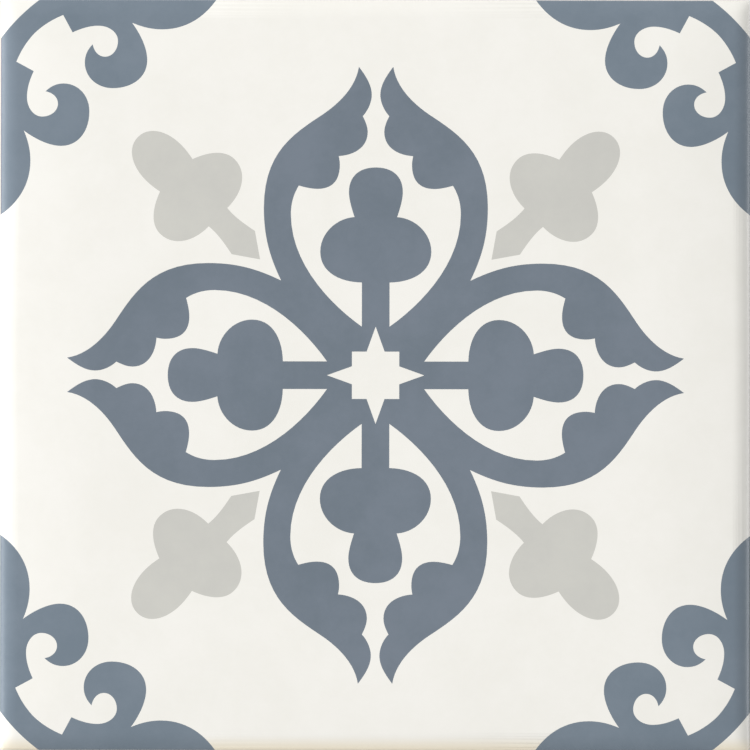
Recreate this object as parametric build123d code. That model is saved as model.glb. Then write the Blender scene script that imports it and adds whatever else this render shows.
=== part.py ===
from build123d import *
import os

# A square glazed ceramic tile, pressed and fired as one piece: a crowned face, a cushion edge, a keyed back.
# It lies on its back with the glazed face up. The origin is at the middle of the back, +Z up.
# All sizes are in millimetres.

# The tile as a whole
SIDE = 200.0
THICKNESS = 8.0
CORNER_RADIUS = 1.0

# The glazed face: flat in the middle and slightly crowned, so that it falls a little towards the sides
CROWN_WIDTH = 29.0
CROWN_DROP = 0.7

# The cushion edge: the crown runs on into a tighter roll that ends in a small round nose
CUSHION_WIDTH = 4.8
CUSHION_DROP = 1.64
NOSE_RADIUS = 1.2

# The side: an upright land that meets the joint, and below it a draft that frees the tile from the die
LAND_HEIGHT = 2.6
SIDE_DRAFT = 0.5
BACK_EDGE_RADIUS = 0.4

# The keyed back: shallow cells between ribs, inside a plain rim
CELLS_PER_SIDE = 10
RIM_WIDTH = 5.0
RIB_WIDTH = 3.6
CELL_DEPTH = 0.8
CELL_CORNER_CLIP = 1.6
CELL_DRAFT_ANGLE = 30.0


def half_section():
    """The right half of the tile's cross-section, in the XZ plane, with its nose and back edge rounded."""
    half_side = SIDE / 2
    flat_edge = (half_side - CROWN_WIDTH, THICKNESS)
    cushion_top = (half_side - CUSHION_WIDTH, THICKNESS - CROWN_DROP)
    lip = (half_side, cushion_top[1] - CUSHION_DROP)
    land_foot = (half_side, lip[1] - LAND_HEIGHT)
    back_edge = (half_side - SIDE_DRAFT, 0)
    crown = TangentArc(flat_edge, cushion_top, tangent=(1, 0))
    outline = [
        Line((0, 0), (0, THICKNESS)),
        Line((0, THICKNESS), flat_edge),
        crown,
        TangentArc(cushion_top, lip, tangent=crown % 1),
        Line(lip, land_foot),
        Line(land_foot, back_edge),
        Line(back_edge, (0, 0)),
    ]
    face = make_face(outline)
    face = fillet(corner_at(face, lip), NOSE_RADIUS)
    face = fillet(corner_at(face, back_edge), BACK_EDGE_RADIUS)
    return Plane.XZ * face


def corner_at(face, point):
    """The corner of a flat face that lies at a point."""
    return face.vertices().sort_by_distance(point)[0]


def pressed_blank():
    """The tile before its back is keyed: one section run both ways across the die, mitred at the corners."""
    right = half_section()
    section = right + mirror(right, about=Plane.YZ)
    run_along_y = extrude(section, amount=SIDE / 2, both=True)
    run_along_x = Rot(0, 0, 90) * run_along_y
    plan = extrude(RectangleRounded(SIDE, SIDE, CORNER_RADIUS), amount=THICKNESS)
    return run_along_x & run_along_y & plan


def back_cells():
    """The shallow cells of the back, clipped at their corners and drafted to leave the punch."""
    keyed_side = SIDE - 2 * (SIDE_DRAFT + RIM_WIDTH)
    pitch = (keyed_side + RIB_WIDTH) / CELLS_PER_SIDE
    mouth = pitch - RIB_WIDTH
    outline = Rectangle(mouth, mouth)
    outline = chamfer(outline.vertices(), CELL_CORNER_CLIP)
    cell = extrude(outline, amount=CELL_DEPTH, taper=CELL_DRAFT_ANGLE)
    print(f"cell pitch {pitch:.2f} mm, mouth {mouth:.2f} mm")
    return GridLocations(pitch, pitch, CELLS_PER_SIDE, CELLS_PER_SIDE) * cell


def main():
    tile = pressed_blank() - back_cells()
    os.makedirs("parts", exist_ok=True)
    export_step(tile, "parts/tile.step")
    size = tile.bounding_box().size
    print(f"tile {size.X:.2f} x {size.Y:.2f} x {size.Z:.2f} mm, {tile.volume / 1000:.1f} cm3")


main()
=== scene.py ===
# %% [markdown]
# # A patterned tile with a cushion edge
# The real tile is one slab of pressed and fired clay, 20 cm square. Its face wears a satin cream glaze
# with a blue-grey flower, four pale grey clovers and blue-grey corner scrolls in it, all level with
# each other, and the face rolls down to the sides in a soft cushion edge. The back is bare clay with
# shallow cells that key into the adhesive. The CAD solid already has the size, the section and the
# cells. This lesson remakes it as one closed mesh whose face is divided along the ornament's lines,
# as in marquetry, so that every colour border is an edge of the mesh and stays sharp at any distance.

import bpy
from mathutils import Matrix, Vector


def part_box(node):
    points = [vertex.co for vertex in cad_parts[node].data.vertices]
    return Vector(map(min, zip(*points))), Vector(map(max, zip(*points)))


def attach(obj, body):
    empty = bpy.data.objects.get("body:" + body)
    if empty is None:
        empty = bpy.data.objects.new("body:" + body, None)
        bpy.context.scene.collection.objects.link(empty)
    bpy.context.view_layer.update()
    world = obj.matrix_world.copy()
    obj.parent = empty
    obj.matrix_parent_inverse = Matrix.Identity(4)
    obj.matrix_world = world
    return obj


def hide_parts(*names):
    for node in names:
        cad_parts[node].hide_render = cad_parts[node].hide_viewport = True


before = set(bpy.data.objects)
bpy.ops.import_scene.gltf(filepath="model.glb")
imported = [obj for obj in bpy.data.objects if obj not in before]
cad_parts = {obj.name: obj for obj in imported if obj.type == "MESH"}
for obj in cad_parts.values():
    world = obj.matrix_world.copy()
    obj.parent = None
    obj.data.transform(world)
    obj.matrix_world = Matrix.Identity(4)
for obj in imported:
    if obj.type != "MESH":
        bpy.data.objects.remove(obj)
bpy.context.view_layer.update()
print("CAD nodes:", sorted(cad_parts))

# %% The tools of the lesson
import math

import bmesh
import bpy
from mathutils import Matrix, Vector
from mathutils.bvhtree import BVHTree
from mathutils.geometry import interpolate_bezier

print("Blender", bpy.app.version_string)

# %% [markdown]
# ## The tile's sizes
# A tile maker works in millimetres, so the whole mesh is drawn in millimetres and turned into Blender's
# metres by one transform at the end. The side and the thickness are read from the CAD solid. The other
# sizes are those that the die is cut to, and each is given where it is first used.

# %% Sizes in millimetres
MM = 0.001
tile_low, tile_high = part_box("tile")
SIDE = round((tile_high.x - tile_low.x) / MM, 3)
THICKNESS = round((tile_high.z - tile_low.z) / MM, 3)
EDGE = SIDE / 2
print(f"tile {SIDE:g} x {SIDE:g} x {THICKNESS:g} mm")

# %% [markdown]
# ## The section of the glazed face
# Seen from the side, the face is flat in the middle, then falls a little in a wide crown, rolls over in
# the cushion and ends in a small round nose at the upright side. All three are arcs that run into each
# other without a kink. A bevel along the rim could round it, but a bevel gives one arc. Arcs have a
# plain formula, so the height of the face is worked out from the distance to the side, and the mesh is
# later laid over it like a cloth over a mould.

# %% Arcs of the crown, the cushion and the nose
CROWN_WIDTH = 29.0
CROWN_DROP = 0.7
CUSHION_WIDTH = 4.8
CUSHION_DROP = 1.64
NOSE_RADIUS = 1.2


def arc_radius(width, drop, slope):
    """Radius of the arc that starts at a slope and falls by a drop over a width."""
    return (width**2 + drop**2) / (2 * (drop * math.cos(slope) - width * math.sin(slope)))


crown_run = CROWN_WIDTH - CUSHION_WIDTH
crown_radius = arc_radius(crown_run, CROWN_DROP, 0)
crown_axis = CROWN_WIDTH, THICKNESS - crown_radius

cushion_slope = math.asin(crown_run / crown_radius)
cushion_radius = arc_radius(CUSHION_WIDTH, CUSHION_DROP, cushion_slope)
cushion_axis = (CUSHION_WIDTH + cushion_radius * math.sin(cushion_slope),
                THICKNESS - CROWN_DROP - cushion_radius * math.cos(cushion_slope))

nose_reach = cushion_radius - NOSE_RADIUS
nose_slope = math.asin((cushion_axis[0] - NOSE_RADIUS) / nose_reach)
nose_axis = NOSE_RADIUS, cushion_axis[1] + nose_reach * math.cos(nose_slope)
nose_width = NOSE_RADIUS * (1 - math.sin(nose_slope))
print(f"crown radius {crown_radius:.0f} mm, cushion radius {cushion_radius:.2f} mm")
print(f"slope where the cushion starts: {math.degrees(cushion_slope):.1f} degrees")
print(f"slope where the nose starts: {math.degrees(nose_slope):.1f} degrees")


# %% Height of the glazed face
def face_height(inset):
    """Height of the glazed face above the back, at a distance in from the side."""
    if inset >= CROWN_WIDTH:
        return THICKNESS
    axis, radius = crown_axis, crown_radius
    if inset < CUSHION_WIDTH:
        axis, radius = cushion_axis, cushion_radius
    if inset < nose_width:
        axis, radius = nose_axis, NOSE_RADIUS
    return axis[1] + math.sqrt(max(radius**2 - (axis[0] - inset) ** 2, 0))


print(f"the nose meets the side {face_height(0):.2f} mm above the back")

# %% [markdown]
# ## Drawing the ornament
# The ornament is the same about both middle lines and both diagonals, so one eighth of it says
# everything. It is drawn as a sign writer draws a letter: knots where the outline is furthest out or
# has a corner, and two handles for each curve between them. An image would blur when seen from near,
# and a shader full of circles would be hard to read. A drawn line can be corrected point by point.
# The eighth lies between the middle line of a petal, x = 0, and the diagonal, x = y. One number, the
# print's scale, fits the whole drawing to the tile.

# %% A pen for the outlines
CURVE_STEPS = 14
PRINT_SCALE = 0.9953
PRINT_EDGE = EDGE / PRINT_SCALE


def stroke(start, *moves):
    """A printed line. A move is [end] for a straight run, or [handle, handle, end] for a curve."""
    line = [Vector(start) * PRINT_SCALE]
    for move in moves:
        points = [Vector(point) * PRINT_SCALE for point in move]
        if len(points) == 3:
            line += interpolate_bezier(line[-1], *points, CURVE_STEPS)[1:]
        else:
            line += points
    return line


def backwards(line):
    """The same line drawn from its end to its start."""
    return line[::-1]


print(f"the tile's side lies at {PRINT_EDGE:.2f} mm in the drawing")

# %% [markdown]
# ## The flower
# A cream star with four thin points sits in the middle. Four blue petals grow round it: each is a band
# that swings out from the diagonal and comes to a point, with three scallops on its inner edge. On the
# petal's middle line a stem carries a bud of three leaves. The petal is open at its top, so the cream
# between band and bud runs out into the ground, and each outline below is one unbroken line.

# %% Star and bud
STAR = stroke((0, 13.0), [(2.4, 6.33)], [(6.33, 6.33)])

BUD = stroke(
    (0, 55.58),
    [(4.5, 55.58), (7.2, 53.2), (7.2, 49.0)],
    [(7.2, 46.9), (6.4, 44.4), (5.7, 42.3)],
    [(10.35, 42.05), (14.85, 38.15), (14.85, 33.0)],
    [(14.85, 27.65), (9.8, 24.9), (3.7, 24.8)],
    [(3.7, 13.0)],
)
print("star and bud:", len(STAR) + len(BUD), "points")

# %% Petal
PETAL_INSIDE = stroke(
    (3.7, 13.0),
    [(12.6, 19.3), (22.72, 30.2), (22.72, 43.0)],
    [(22.72, 46.2), (21.9, 48.6), (20.6, 50.7)],
    [(19.0, 50.25), (17.3, 49.83), (15.6, 49.83)],
    [(11.75, 49.83), (9.65, 51.95), (9.65, 56.3)],
    [(9.65, 57.1), (9.8, 57.9), (9.95, 58.6)],
    [(5.75, 58.85), (2.22, 61.0), (2.22, 65.0)],
    [(2.22, 66.6), (2.9, 68.0), (3.55, 69.3)],
    [(2.3, 70.6), (1.15, 72.8), (1.15, 75.0)],
    [(1.15, 77.6), (2.7, 80.0), (4.6, 82.5)],
)

PETAL_OUTSIDE = stroke(
    (4.6, 82.5),
    [(5.45, 76.9), (10.05, 72.35), (15.5, 68.9)],
    [(22.9, 64.0), (29.95, 58.8), (29.95, 44.8)],
    [(29.95, 37.4), (28.55, 32.0), (25.3, 25.3)],
)
print("petal:", len(PETAL_INSIDE) + len(PETAL_OUTSIDE), "points")

# %% [markdown]
# ## The clover
# Between the petals a pale grey clover points at the tile's middle: a stem with a sharp foot, two side
# leaves and a long end leaf. It lies along the diagonal, so it is easier to draw lying down, with its
# length first and its half-width second, and to turn it by 45 degrees afterwards.

# %% Clover on the diagonal
DIAGONAL = Matrix.Rotation(math.radians(45), 2)

CLOVER = stroke(
    (43.75, 0),
    [(50.1, 4.4)],
    [(52.6, 3.9), (56.5, 3.1), (59.7, 3.5)],
    [(59.6, 9.3), (62.6, 14.1), (67.5, 14.1)],
    [(71.7, 14.1), (74.2, 9.6), (75.5, 6.15)],
    [(77.0, 6.45), (78.6, 6.7), (80.4, 6.7)],
    [(85.6, 6.7), (90.0, 4.2), (90.0, 0)],
)
CLOVER = [DIAGONAL @ point for point in CLOVER]
print("clover:", len(CLOVER), "points")

# %% [markdown]
# ## The corner scroll
# Each corner holds a quarter of a ring: laid next to three neighbours, four corners close into a round
# medallion. A half lobe rises from the tile's side, the line dips into a notch, runs round a hooked
# scroll, and steps up to the band that crosses the corner. The last bit of corner outside it is cream,
# and the tile's own outline is a small arc there.

# %% Scroll and band
SCROLL = stroke(
    (42.75, PRINT_EDGE),
    [(46.0, 95.6), (51.0, 92.42), (57.2, 92.42)],
    [(60.4, 92.42), (63.0, 93.2), (65.3, 94.2)],
    [(63.2, 91.4), (61.2, 87.5), (61.2, 84.2)],
    [(61.2, 79.4), (65.4, 76.65), (70.4, 76.65)],
    [(74.9, 76.65), (77.9, 79.85), (77.9, 83.5)],
    [(77.9, 85.6), (77.05, 87.1), (75.8, 88.4)],
    [(75.45, 86.45), (74.2, 85.07), (72.5, 85.07)],
    [(70.6, 85.07), (69.05, 86.9), (69.05, 89.3)],
    [(69.05, 91.65), (71.5, 93.36), (74.2, 93.36)],
    [(76.6, 93.4), (79.1, 92.55), (81.2, 91.57)],
    [(83.72, 96.23)],
    [(86.35, 95.15), (88.95, 93.65), (91.36, 91.36)],
)

BAND = stroke((90.0, PRINT_EDGE), [(92.2, 98.7), (93.85, 97.25), (95.55, 95.55)])
print("scroll:", len(SCROLL) + len(BAND), "points")

# %% Rounded corner of the tile
CORNER_RADIUS = 1.0
CORNER_STEPS = 5

corner_axis = EDGE - CORNER_RADIUS
corner_angles = [math.radians(90 - 45 * step / CORNER_STEPS) for step in range(CORNER_STEPS + 1)]
CORNER = [
    Vector((corner_axis + CORNER_RADIUS * math.cos(angle), corner_axis + CORNER_RADIUS * math.sin(angle)))
    for angle in corner_angles
]
print("corner:", len(CORNER), "points")

# %% [markdown]
# ## Laying the glazes of one eighth
# Each region of colour becomes one many-sided face between drawn lines. Filling the regions apart and
# stacking them would leave seams, so every point is made only once and shared by the regions that meet
# there. The glaze number of a face picks its material.

# %% A way to lay a glaze
CREAM, BLUE, SCROLL_BLUE, GREY, BISCUIT = range(5)
DECIMALS = 4

tile = bmesh.new()
made = {}


def vertex(point):
    """The mesh's one vertex at a drawn point."""
    key = (round(point.x, DECIMALS), round(point.y, DECIMALS))
    if key not in made:
        made[key] = tile.verts.new((point.x, point.y, 0))
    return made[key]


def lay(glaze, *lines):
    """Fills the closed loop that some drawn lines make, end to end, with one face of a glaze."""
    loop = []
    for point in (point for line in lines for point in line):
        corner = vertex(point)
        if corner not in loop:
            loop.append(corner)
    face = tile.faces.new(loop)
    face.material_index = glaze
    face.normal_update()
    if face.normal.z < 0:
        face.normal_flip()
    return face


print("finishes to lay:", BISCUIT + 1)

# %% Six regions in one eighth of the face
MIDDLE = Vector((0, 0))
SIDE_MIDDLE = Vector((0, EDGE))

regions = {
    "star": lay(CREAM, [MIDDLE], STAR),
    "flower": lay(BLUE, STAR, backwards(PETAL_OUTSIDE), backwards(PETAL_INSIDE), backwards(BUD)),
    "ground": lay(CREAM, BUD, PETAL_INSIDE, PETAL_OUTSIDE, CLOVER, backwards(SCROLL), [SIDE_MIDDLE]),
    "clover": lay(GREY, CLOVER),
    "scroll": lay(SCROLL_BLUE, SCROLL, backwards(BAND)),
    "corner": lay(CREAM, BAND, backwards(CORNER)),
}
area = {name: face.calc_area() for name, face in regions.items()}
print(", ".join(f"{name} {size:.0f} mm2" for name, size in area.items()))
print(f"all regions {sum(area.values()):.1f} of {SIDE**2 / 8:.1f} mm2")

# %% [markdown]
# ## Rolling the edge down
# The flat eighth needs rows of points near the side before it can bend. bisect_plane slices every face
# that a plane crosses, so a row of planes parallel to the side leaves the ornament's lines as they are
# and adds the rings of the crown, the cushion and the nose. One ring just inside the crown keeps the
# middle flat to the eye. Near the diagonal a few more slices let the two cushions run into each other
# softly, as they do on a pressed tile, and not in a sharp mitre.

# %% Slice the rings
CROWN_STEPS = 6
CUSHION_STEPS = 7
NOSE_STEPS = 7
FLAT_GUARD = 0.6
CUT_TOLERANCE = 1e-5


def slice_along(point, normal, faces):
    """Cuts some faces along a plane through a point."""
    edges = {edge for face in faces for edge in face.edges}
    corners = {corner for face in faces for corner in face.verts}
    bmesh.ops.bisect_plane(tile, geom=[*faces, *edges, *corners], dist=CUT_TOLERANCE,
                           plane_co=point, plane_no=normal)


def arc_rings(axis, radius, first_slope, last_slope, steps):
    """Distances in from the side of the rings that divide an arc evenly."""
    slopes = (first_slope + (last_slope - first_slope) * step / steps for step in range(steps))
    return [axis[0] - radius * math.sin(slope) for slope in slopes]


rings = [CROWN_WIDTH + FLAT_GUARD]
rings += arc_rings(crown_axis, crown_radius, 0, cushion_slope, CROWN_STEPS)
rings += arc_rings(cushion_axis, cushion_radius, cushion_slope, nose_slope, CUSHION_STEPS)
rings += arc_rings(nose_axis, NOSE_RADIUS, nose_slope, math.pi / 2, NOSE_STEPS)
for ring in rings:
    slice_along((0, EDGE - ring, 0), (0, 1, 0), tile.faces[:])
print(f"one eighth: {len(rings)} rings, {len(tile.faces)} faces")

# %% Slice beside the diagonal
MITRE_SLICES = (0.4, 1.0, 2.0, 4.0, 7.0)
NEAR = 1e-3

crown_line = EDGE - CROWN_WIDTH - FLAT_GUARD - NEAR
for offset in MITRE_SLICES:
    crowned = [face for face in tile.faces if min(corner.co.y for corner in face.verts) > crown_line]
    slice_along((-offset, offset, 0), (-1, 1, 0), crowned)
print(f"one eighth: {len(tile.faces)} faces")

# %% Bend the face
MITRE_SOFTNESS = 2.5

bmesh.ops.triangulate(tile, faces=tile.faces[:], quad_method="BEAUTY", ngon_method="BEAUTY")
for corner in tile.verts:
    drops = [THICKNESS - face_height(EDGE - along) for along in (corner.co.x, corner.co.y)]
    corner.co.z = THICKNESS - sum(drop**MITRE_SOFTNESS for drop in drops) ** (1 / MITRE_SOFTNESS)
print(f"one eighth: {len(tile.faces)} triangles")

# %% [markdown]
# ## From one eighth to the whole face
# A mirror on the diagonal gives the quarter, and a spin of copies in steps of 90 degrees gives the
# whole, as a printer turns one stencil. The mirror merges the points that lie on an axis of the mesh,
# so the eighth is turned until its diagonal stands on the Y axis, mirrored there, and turned back. The
# spin leaves double points along its seams, which are merged afterwards.

# %% Mirror and turn the eighth
COPIES = 3


def turn(degrees):
    """Turns the whole mesh about the tile's middle."""
    bmesh.ops.rotate(tile, verts=tile.verts[:], cent=(0, 0, 0),
                     matrix=Matrix.Rotation(math.radians(degrees), 3, "Z"))


turn(45)
bmesh.ops.mirror(tile, geom=tile.verts[:] + tile.edges[:] + tile.faces[:], merge_dist=NEAR, axis="X")
turn(-45)
bmesh.ops.spin(tile, geom=tile.verts[:] + tile.edges[:] + tile.faces[:], cent=(0, 0, 0), axis=(0, 0, 1),
               angle=math.radians(90 * COPIES), steps=COPIES, use_duplicate=True)
bmesh.ops.remove_doubles(tile, verts=tile.verts[:], dist=NEAR)
print(f"glazed face: {len(tile.faces)} triangles")

# %% [markdown]
# ## The sides
# The side of a pressed tile has an upright land, which stands against the joint, and below it a slight
# draft that lets the tile leave the die. Extruding the rim's edges step by step, as one pulls a skirt
# down, keeps every point of the side under a point of the face, so the mesh stays closed.

# %% Draw the rim down
LAND_HEIGHT = 2.6
SIDE_DRAFT = 0.5


def rim_edges():
    """The open edges round the bottom of the mesh so far."""
    return [edge for edge in tile.edges if edge.is_boundary]


def draw_down(height, draft):
    """Extrudes the rim down to a height, leaning in by a draft."""
    drawn = bmesh.ops.extrude_edge_only(tile, edges=rim_edges())["geom"]
    corners = [part for part in drawn if isinstance(part, bmesh.types.BMVert)]
    lean = (EDGE - draft) / EDGE
    bmesh.ops.scale(tile, vec=(lean, lean, 1), verts=corners)
    for corner in corners:
        corner.co.z = height
    for face in {face for corner in corners for face in corner.link_faces}:
        face.material_index = BISCUIT


land_foot = THICKNESS - CROWN_DROP - CUSHION_DROP - LAND_HEIGHT
draw_down(land_foot, 0)
draw_down(0, SIDE_DRAFT)
print(f"land {nose_axis[1] - land_foot:.2f} mm high, rim of {len(rim_edges())} edges")

# %% [markdown]
# ## The keyed back
# The punch presses a hundred shallow cells into the back, so that adhesive grips it. A grid gives the
# squares between the ribs' middle lines, a fill joins it to the rim, and a bevel rounds the lowest edge
# of the side. An inset of each square gives the mouth of its cell, a second inset with depth gives the
# drafted walls and the floor, and a bevel of the upright corners rounds them. Cutting a hundred holes
# with booleans would give the same shape and a far worse mesh.

# %% Close the back and round its edge
CELLS_PER_SIDE = 10
RIM_WIDTH = 5.0
RIB_WIDTH = 3.6
BACK_EDGE_RADIUS = 0.4
BEVEL_STEPS = 3

keyed_side = SIDE - 2 * (SIDE_DRAFT + RIM_WIDTH)
pitch = (keyed_side + RIB_WIDTH) / CELLS_PER_SIDE
rim = rim_edges()
glazed_and_sides = set(tile.faces)
bmesh.ops.create_grid(tile, x_segments=CELLS_PER_SIDE, y_segments=CELLS_PER_SIDE,
                      size=pitch * CELLS_PER_SIDE / 2)
cells = [face for face in tile.faces if face not in glazed_and_sides]
bmesh.ops.triangle_fill(tile, use_beauty=True, edges=rim_edges(), normal=(0, 0, -1))
for face in tile.faces:
    if face not in glazed_and_sides:
        face.material_index = BISCUIT
bmesh.ops.recalc_face_normals(tile, faces=tile.faces[:])
bmesh.ops.bevel(tile, geom=rim, offset=BACK_EDGE_RADIUS, offset_type="OFFSET", affect="EDGES",
                segments=BEVEL_STEPS, profile=0.5, material=-1)
print(f"{len(cells)} squares of {pitch:.2f} mm, {len(rim_edges())} open edges")

# %% Press the cells
CELL_DEPTH = 0.8
CELL_CORNER_CLIP = 1.6
CELL_DRAFT_ANGLE = 30.0

bmesh.ops.inset_individual(tile, faces=cells, thickness=RIB_WIDTH / 2, use_even_offset=True)
lean_in = CELL_DEPTH * math.tan(math.radians(CELL_DRAFT_ANGLE))
walls = bmesh.ops.inset_individual(tile, faces=cells, thickness=lean_in, depth=-CELL_DEPTH,
                                   use_even_offset=True)["faces"]
print(f"cell floors {cells[0].calc_center_median().z:.2f} mm above the ribs")
upright = {edge for face in walls for edge in face.edges
           if abs(edge.verts[0].co.z - edge.verts[1].co.z) > CELL_DEPTH / 2}
bmesh.ops.bevel(tile, geom=list(upright), offset=CELL_CORNER_CLIP, offset_type="OFFSET", affect="EDGES",
                segments=BEVEL_STEPS, profile=0.5, material=-1)
open_edges = [edge for edge in tile.edges if not edge.is_manifold]
print(f"{len(open_edges)} open edges, {tile.calc_volume() / 1000:.1f} cm3")

# %% [markdown]
# ## A map for baking
# When the tile is exported, its colours are baked into one square picture. On one flat map the cream,
# the blue and the grey would share pixels along their borders and smear. So each of the three gets a
# quarter of the picture, with the face projected straight down into it. The blue of the scrolls shares
# the quarter of the flower, which it never touches. The bare clay gets the last quarter: the back as
# seen from below, and the four sides in strips under it.

# %% Place of the bare clay
FACE_SPAN = 0.94
BACK_SPAN = 0.76
BACK_MIDDLE = 0.6
SIDE_STRIP = 0.05
SIDE_STRIP_FILL = 0.8
SIDE_STRIP_MARGIN = 0.008
LEAST_LYING = 0.3


def clay_place(face, at):
    """Where a point of the bare clay lies in its own quarter: with the back, or in its side's strip."""
    if abs(face.normal.z) > LEAST_LYING:
        return 0.5 - at.x / SIDE * BACK_SPAN, BACK_MIDDLE + at.y / SIDE * BACK_SPAN
    faces_x = abs(face.normal.x) > abs(face.normal.y)
    along = at.y if faces_x else at.x
    strip = 2 * faces_x + ((face.normal.x if faces_x else face.normal.y) > 0)
    rise = SIDE_STRIP_MARGIN + SIDE_STRIP * (strip + SIDE_STRIP_FILL * at.z / THICKNESS)
    return 0.5 + along / SIDE * FACE_SPAN, rise


print(f"back {BACK_SPAN:.0%} and sides {FACE_SPAN:.0%} of a quarter wide")

# %% Lay out the bake map
QUARTER = {CREAM: (0, 0), BLUE: (1, 0), SCROLL_BLUE: (1, 0), GREY: (0, 1), BISCUIT: (1, 1)}
bake_map = tile.loops.layers.uv.new("OFBake")

for face in tile.faces:
    column, row = QUARTER[face.material_index]
    for loop in face.loops:
        at = loop.vert.co
        if face.material_index == BISCUIT:
            u, v = clay_place(face, at)
        else:
            u, v = 0.5 + at.x / SIDE * FACE_SPAN, 0.5 + at.y / SIDE * FACE_SPAN
        loop[bake_map].uv = ((column + u) / 2, (row + v) / 2)
print(f"bake map: {len(tile.faces)} faces in {len(set(QUARTER.values()))} quarters")

# %% [markdown]
# ## One piece on its body
# The mesh is whole and becomes an object. Smooth shading lets the rings of the cushion pass for one
# round surface, and edges that turn by more than forty degrees stay sharp, as at the mouths of the
# cells. The tile is pressed to the CAD solid's size, so the largest distance between the two is
# measured before the piece takes the solid's place and rides on its body.

# %% Make the piece
SHARP_ANGLE = 40

bmesh.ops.scale(tile, vec=(MM, MM, MM), verts=tile.verts[:])
mesh = bpy.data.meshes.new("patterned_tile")
tile.to_mesh(mesh)
tile.free()
mesh.shade_smooth()
mesh.set_sharp_from_angle(angle=math.radians(SHARP_ANGLE))
piece = bpy.data.objects.new("patterned_tile", mesh)
bpy.context.scene.collection.objects.link(piece)

cad_tree = BVHTree.FromObject(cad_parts["tile"], bpy.context.evaluated_depsgraph_get())
gaps = [cad_tree.find_nearest(corner.co)[3] / MM for corner in mesh.vertices]
print(f"{len(mesh.polygons)} faces, at most {max(gaps):.2f} mm from the CAD solid")

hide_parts("tile")
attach(piece, "root")

# %% [markdown]
# ## Colours and nodes
# The numbers of a colour in a picture are not amounts of light: they are bent by the sRGB curve, which
# gives dark tones more steps. A shader reckons in light. So each colour is written here as a picture
# shows it, from 0 to 255, and straightened on its way into a shader. Node trees grow line by line in
# code, and a few small helpers keep that readable: they feed a socket, add a node, start a material,
# blend two colours, and turn one range into another.

# %% Colours as a picture shows them
def srgb(red, green, blue):
    """A colour as a picture shows it, 0 to 255, in the amounts of light that a shader takes."""
    levels = (level / 255 for level in (red, green, blue))
    light = (level / 12.92 if level <= 0.04045 else ((level + 0.055) / 1.055) ** 2.4 for level in levels)
    return (*light, 1)


print(f"a grey of 128 sends back {srgb(128, 128, 128)[0]:.0%} of the light")


# %% Helpers that build a node tree
def feed(tree, socket, value):
    """Gives a socket a value, or connects another node's output to it."""
    if isinstance(value, bpy.types.NodeSocket):
        tree.links.new(value, socket)
    else:
        socket.default_value = value


def add(tree, kind, settings=None, **sockets):
    """Adds a node with its settings, and feeds the sockets that are named."""
    node = tree.nodes.new("ShaderNode" + kind)
    for name, value in (settings or {}).items():
        setattr(node, name, value)
    for name, value in sockets.items():
        feed(tree, node.inputs[name.replace("_", " ")], value)
    return node


def new_material(name):
    """A material with its node tree, its shader and the coordinates of the piece, in metres."""
    material = bpy.data.materials.new(name)
    material.use_nodes = True
    tree = material.node_tree
    return material, tree, tree.nodes["Principled BSDF"], add(tree, "TexCoord").outputs["Object"]


print("builders:", feed.__name__, add.__name__, new_material.__name__)

# %% Helpers that mix and grade
MIX_FIRST, MIX_SECOND, MIX_RESULT = 6, 7, 2


def blend(tree, share, first, second):
    """A colour between two others, by the share of the second."""
    node = add(tree, "Mix", {"data_type": "RGBA"}, Factor=share)
    feed(tree, node.inputs[MIX_FIRST], first)
    feed(tree, node.inputs[MIX_SECOND], second)
    return node.outputs[MIX_RESULT]


def ramp(tree, value, low, high, start=0, end=1):
    """Turns a value that runs from low to high into one that runs smoothly from start to end."""
    node = add(tree, "MapRange", {"interpolation_type": "SMOOTHSTEP"}, Value=value,
               From_Min=low, From_Max=high, To_Min=start, To_Max=end)
    return node.outputs["Result"]


print("mixers:", blend.__name__, ramp.__name__)

# %% [markdown]
# ## The glazes
# Cream, blue and grey are fired into one satin surface. From afar each is one even colour. From near,
# its tone drifts: where the glaze lies thick it is deeper and smoother, where it is thin it is paler
# and a little duller, from blots of two centimetres down to the fine grain of the print. One noise
# with many octaves gives all of these, and it drives the tone and the roughness together. A second
# noise makes the faint orange peel that only shows in reflections. A photo of a glaze could do the
# same, but it would bring its own light along, and the tile could not be lit anew.

# %% A satin glaze
DRIFT_SCALE = 45
DRIFT_RANGE = 0.3, 0.7
PEEL_SCALE = 380
PEEL_HEIGHT = 0.02 * MM
PEEL_STRENGTH = 0.1
SATIN = 0.28, 0.32


def satin_glaze(name, thick, thin):
    """A satin glaze between a deep and a pale tone. Gives the material, its tree, shader and colour."""
    material, tree, shader, place = new_material(name)
    drift = add(tree, "TexNoise", Vector=place, Scale=DRIFT_SCALE, Detail=8, Roughness=0.72).outputs["Fac"]
    tone = blend(tree, ramp(tree, drift, *DRIFT_RANGE), thick, thin)
    peel = add(tree, "TexNoise", Vector=place, Scale=PEEL_SCALE, Detail=2).outputs["Fac"]
    bump = add(tree, "Bump", Height=peel, Strength=PEEL_STRENGTH, Distance=PEEL_HEIGHT)
    feed(tree, shader.inputs["Base Color"], tone)
    feed(tree, shader.inputs["Roughness"], ramp(tree, drift, *DRIFT_RANGE, *SATIN))
    feed(tree, shader.inputs["Normal"], bump.outputs["Normal"])
    return material, tree, shader, tone


blue_glaze = satin_glaze("blue_glaze", thick=srgb(110, 121, 132), thin=srgb(119, 129, 141))[0]
scroll_glaze = satin_glaze("scroll_glaze", thick=srgb(114, 127, 139), thin=srgb(123, 135, 147))[0]
grey_glaze = satin_glaze("grey_glaze", thick=srgb(202, 201, 195), thin=srgb(208, 207, 200))[0]
print("glazes:", blue_glaze.name, scroll_glaze.name, grey_glaze.name)

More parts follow.
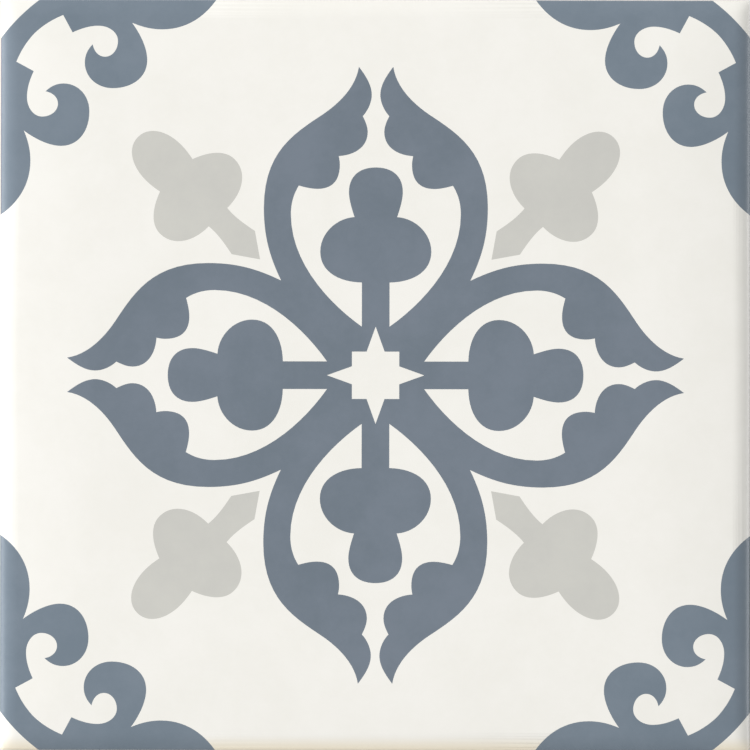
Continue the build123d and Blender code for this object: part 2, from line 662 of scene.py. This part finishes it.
# %% [markdown]
# ## Painted warm light on one edge of the cream
# Along one side the cream is painted warmer over the last four millimetres. This is painted light: it
# stands in for a warm bounce that falls on that shaded edge. The place is known in the tile's own
# coordinates, so a soft ramp along Y near that side blends a warmer cream in. A painted mask would do as
# well, but then the width could not be changed by one number.

# %% Cream with painted warm light on one edge
# Width and tone of the painted warm light: a warm bounce on one shaded edge, painted into the colour.
PAINTED_WARM_LIGHT_WIDTH = 4.4
PAINTED_WARM_LIGHT = srgb(247, 237, 215)


def with_painted_warm_light(tree, tone):
    """A cream tone painted warmer towards one side of the tile, as painted warm bounce light."""
    place = add(tree, "SeparateXYZ", Vector=add(tree, "TexCoord").outputs["Object"])
    painted_warm_light_share = ramp(tree, place.outputs["Y"], -EDGE * MM, -(EDGE - PAINTED_WARM_LIGHT_WIDTH) * MM, 1, 0)
    return blend(tree, painted_warm_light_share, tone, PAINTED_WARM_LIGHT)


cream_glaze, tree, shader, tone = satin_glaze("cream_glaze", thick=srgb(243, 241, 234),
                                              thin=srgb(247, 245, 239))
# Painted warm light along one side, laid over the cream's own tone.
feed(tree, shader.inputs["Base Color"], with_painted_warm_light(tree, tone))
print(f"cream: warm over the last {PAINTED_WARM_LIGHT_WIDTH:g} mm of one side")

# %% [markdown]
# ## The bare clay
# The sides and the back are biscuit: a chalky, warm body with darker grains and small pores. Three
# things give away how it was made. The glaze ran over the nose and ends on the side in a ragged line.
# The ribs wear the pale wash that keeps a tile from sticking to the kiln's rollers. And the cells,
# which touch nothing, keep the clay's own tone. Height above the back tells these zones apart, so they
# are ramps on Z, with noise to fray their borders. The finish is built up in layers: first the clay,
# then the wash, then the glaze that ran over.

# %% Clay with grains and pores
MOTTLE_SCALE = 70
MOTTLE_RANGE = 0.32, 0.68
GRAIN_SCALE = 1500
GRAIN_RANGE = 0.62, 0.74
GRAIN_SHARE = 0.6
PORE_DEPTH = 0.08
PORE_STRENGTH = 0.35

biscuit, tree, shader, place = new_material("biscuit")
mottle = add(tree, "TexNoise", Vector=place, Scale=MOTTLE_SCALE, Detail=7, Roughness=0.68).outputs["Fac"]
grain = add(tree, "TexNoise", Vector=place, Scale=GRAIN_SCALE, Detail=2).outputs["Fac"]
clay = blend(tree, ramp(tree, mottle, *MOTTLE_RANGE), srgb(200, 179, 154), srgb(218, 202, 181))
clay = blend(tree, ramp(tree, grain, *GRAIN_RANGE, 0, GRAIN_SHARE), clay, srgb(152, 122, 94))
pores = add(tree, "Bump", Height=grain, Strength=PORE_STRENGTH, Distance=PORE_DEPTH * MM)
feed(tree, shader.inputs["Normal"], pores.outputs["Normal"])
print(f"clay: pores of {PORE_DEPTH:g} mm")

# %% Kiln wash on the ribs
WASH_TOP = 0.25
WASH_SHARE = 0.75
PATCH_RANGE = 0.36, 0.58
PATCH_SHARE = 0.25


def reckon(tree, operation, *values):
    """The result of a calculation with numbers or other nodes' outputs."""
    node = add(tree, "Math", {"operation": operation})
    for socket, value in zip(node.inputs, values):
        feed(tree, socket, value)
    return node.outputs["Value"]


height = add(tree, "SeparateXYZ", Vector=place).outputs["Z"]
wash = ramp(tree, height, 0, WASH_TOP * MM, WASH_SHARE, 0)
patches = ramp(tree, mottle, *PATCH_RANGE, 1, PATCH_SHARE)
clay = blend(tree, reckon(tree, "MULTIPLY", wash, patches), clay, srgb(240, 235, 226))
print(f"wash: on the lowest {WASH_TOP:g} mm")

# %% Glaze that ran over the side
GLAZE_LINE = 4.3
GLAZE_FRAY = 2.4
GLAZE_BLUR = 0.05
FRAY_SCALE = 110
CHALKY = 0.92

fray = add(tree, "TexNoise", Vector=place, Scale=FRAY_SCALE, Detail=5).outputs["Fac"]
frayed = reckon(tree, "MULTIPLY_ADD", fray, GLAZE_FRAY * MM, height)
glaze_end = GLAZE_LINE + GLAZE_FRAY / 2
glazed = ramp(tree, frayed, (glaze_end - GLAZE_BLUR) * MM, (glaze_end + GLAZE_BLUR) * MM)
# The glaze that ran over the side gets the same painted warm light along that one edge.
overrun = with_painted_warm_light(tree, srgb(243, 240, 232))
feed(tree, shader.inputs["Base Color"], blend(tree, glazed, clay, overrun))
feed(tree, shader.inputs["Roughness"], ramp(tree, glazed, 0, 1, CHALKY, SATIN[1]))

for material in (cream_glaze, blue_glaze, scroll_glaze, grey_glaze, biscuit):
    mesh.materials.append(material)
print("materials in order:", [material.name for material in mesh.materials])

# %% [markdown]
# ## The floor
# The tile lies on a wide sheet of pale studio paper. The sheet is much larger than the picture, so that
# its own edges never show, and it bounces light back against the sides. Paper is never one flat white
# either: a fine noise gives it a breath of fibre. It is matte, so it mirrors none of the lamps.

# %% Studio paper
PAPER_SIDE = 8.0
FIBRE_SCALE = 260

paper, tree, shader, place = new_material("studio_paper")
fibre = add(tree, "TexNoise", Vector=place, Scale=FIBRE_SCALE, Detail=4).outputs["Fac"]
feed(tree, shader.inputs["Base Color"], blend(tree, fibre, srgb(238, 237, 234), srgb(242, 241, 238)))
shader.inputs["Roughness"].default_value = 0.9
shader.inputs["Specular IOR Level"].default_value = 0

sheet = bmesh.new()
bmesh.ops.create_grid(sheet, x_segments=1, y_segments=1, size=PAPER_SIDE / 2)
floor_mesh = bpy.data.meshes.new("floor")
sheet.to_mesh(floor_mesh)
sheet.free()
floor_mesh.materials.append(paper)
floor = bpy.data.objects.new("floor", floor_mesh)
bpy.context.scene.collection.objects.link(floor)
print(f"paper {PAPER_SIDE:g} m wide")

# %% [markdown]
# ## The window
# A flat satin face shows its form only where the light is uneven. A wide window low on the left washes
# the left cushion almost white and lets the right one fall into a soft shade, which is what makes the
# tile look pillowed. The rest of the room is an even grey. The window is an area lamp, because a point
# or a sun would draw hard edges. It is left out of reflections: seen from the other side, its mirror
# image would lie on the face like glare and hide the ornament.

# %% An even grey room
ROOM = 0.45

world = bpy.data.worlds.new("room")
bpy.context.scene.world = world
world.use_nodes = True
world.node_tree.nodes["Background"].inputs["Color"].default_value = (ROOM, ROOM, ROOM, 1)
print(f"room: {ROOM:.0%} grey")

# %% A window on the left
WINDOW_SIZE = 4.6, 2.0
WINDOW_POWER = 396
WINDOW_TURN = math.radians(16)
WINDOW_ELEVATION = math.radians(33.5)
WINDOW_DISTANCE = 6.0


def hang_lamp(name, size, power, place, target):
    """A soft rectangular lamp at a place, which looks at a target."""
    light = bpy.data.lights.new(name, "AREA")
    light.shape = "RECTANGLE"
    light.size, light.size_y = size
    light.energy = power
    lamp = bpy.data.objects.new(name, light)
    bpy.context.scene.collection.objects.link(lamp)
    lamp.location = place
    lamp.rotation_euler = (lamp.location - target).to_track_quat("Z", "Y").to_euler()
    return lamp


towards_window = Vector((-math.cos(WINDOW_ELEVATION) * math.cos(WINDOW_TURN),
                         math.cos(WINDOW_ELEVATION) * math.sin(WINDOW_TURN), math.sin(WINDOW_ELEVATION)))
window = hang_lamp("window", WINDOW_SIZE, WINDOW_POWER, place=WINDOW_DISTANCE * towards_window,
                   target=Vector((0, 0, 0)))
window.visible_glossy = False
print(f"window {window.location.length:.1f} m away, {window.location.z:.1f} m high")

# %% [markdown]
# ## The gleams
# A satin glaze mirrors what stands beside it: a pale veil lies on the left cushion, and a thin gleam on
# the right nose. Two strips of light make them, as a photographer lays a strip light along a rim. They
# lie low and close to the tile, so that from any side only the rolled edges and the glaze next to them
# can mirror them. They are seen in reflections only, because their plain light would fill the shade on
# the right.

# %% Strips beside the edges
STRIP_LENGTH = 260.0
STRIP_GAP = 15.0


def lay_strip(name, side, height, width, radiance):
    """A strip of light beside the left (-1) or right (1) edge, seen in reflections only."""
    size = STRIP_LENGTH * MM, width * MM
    power = radiance * math.pi * size[0] * size[1]
    strip = hang_lamp(name, size, power, place=Vector((side * (EDGE + STRIP_GAP), 0, height)) * MM,
                      target=Vector((side * EDGE, 0, nose_axis[1])) * MM)
    strip.visible_diffuse = False


lay_strip("left_gleam", side=-1, height=12.0, width=9.0, radiance=4.0)
lay_strip("right_gleam", side=1, height=12.5, width=6.5, radiance=4.6)

# %% [markdown]
# ## The camera
# The picture looks straight down on the face, and its lines show no perspective: a long lens from far
# away. The frame cuts the tile just inside its outline, and the camera is turned by a tenth of a
# degree, because the tile didn't lie quite square to the picture. View transform Standard keeps a
# colour as it was written, where Blender's default would soften it.

# %% Look straight down
LENS = 400
SENSOR = 36
PICTURE_WIDTH = 199.6
PICTURE_MIDDLE = -0.155, 0.08
PICTURE_TURN = 0.1

view = bpy.data.cameras.new("camera")
view.lens = LENS
view.sensor_width = SENSOR
camera = bpy.data.objects.new("camera", view)
bpy.context.scene.collection.objects.link(camera)
camera.location = Vector((*PICTURE_MIDDLE, THICKNESS + PICTURE_WIDTH * LENS / SENSOR)) * MM
camera.rotation_euler.z = math.radians(PICTURE_TURN)
bpy.context.scene.camera = camera
bpy.context.scene.view_settings.view_transform = "Standard"
print(f"camera {camera.location.z:.2f} m above the floor")
